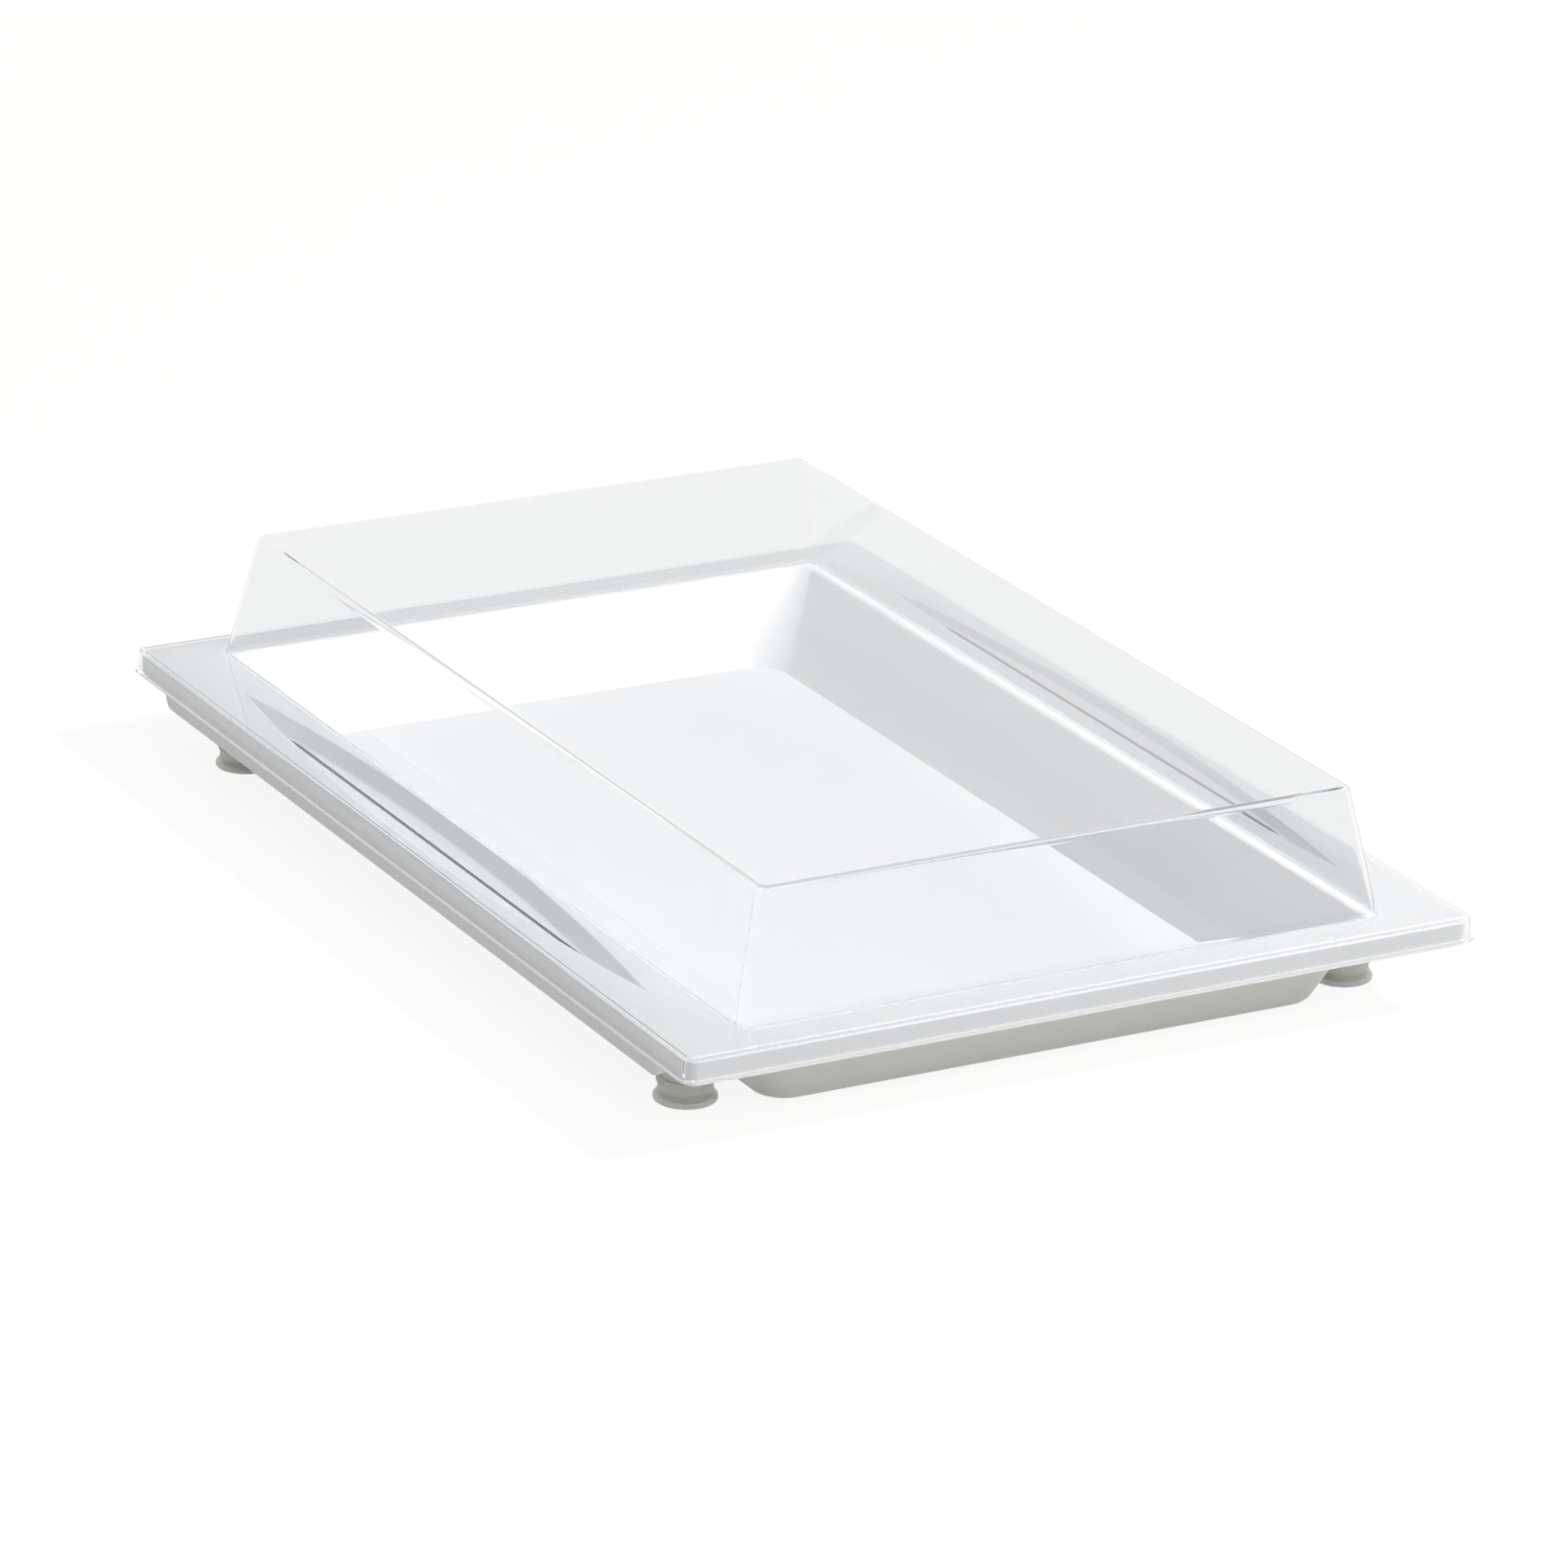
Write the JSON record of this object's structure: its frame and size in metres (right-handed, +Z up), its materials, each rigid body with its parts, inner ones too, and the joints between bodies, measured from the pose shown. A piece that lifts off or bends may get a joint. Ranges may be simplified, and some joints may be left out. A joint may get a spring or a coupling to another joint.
{
  "type": "humidity dome tray",
  "caption": "Long white moulded tray with a sunk coved bowl, leaf-shaped grip scoops beside it and soft corner feet, under a clear lift-off dome cover with a turned-down skirt.",
  "frame": {"origin": "centre of the bounding box, on the ground that the feet stand on", "axes": "+Z up; +Y along the long side, towards the back; +X across the short side, to the right"},
  "size_m": [0.323, 0.463, 0.0843],
  "materials": {
    "tray_plastic": "white, moulded, semi-gloss",
    "clear_plastic": "clear, polished, slightly cool grey in the thickness",
    "foot_rubber": "translucent soft grey-cream, satin"
  },
  "bodies": {
    "tray": {"tray": "tray_plastic", "foot_front_left": "foot_rubber", "foot_front_right": "foot_rubber", "foot_back_left": "foot_rubber", "foot_back_right": "foot_rubber"},
    "dome": {"dome": "clear_plastic"}
  },
  "joints": [
    {"name": "dome_lift", "type": "slide", "parent": "tray", "child": "dome", "axis": [0, 0, 1], "range_m": [0, 0.06]}
  ]
}
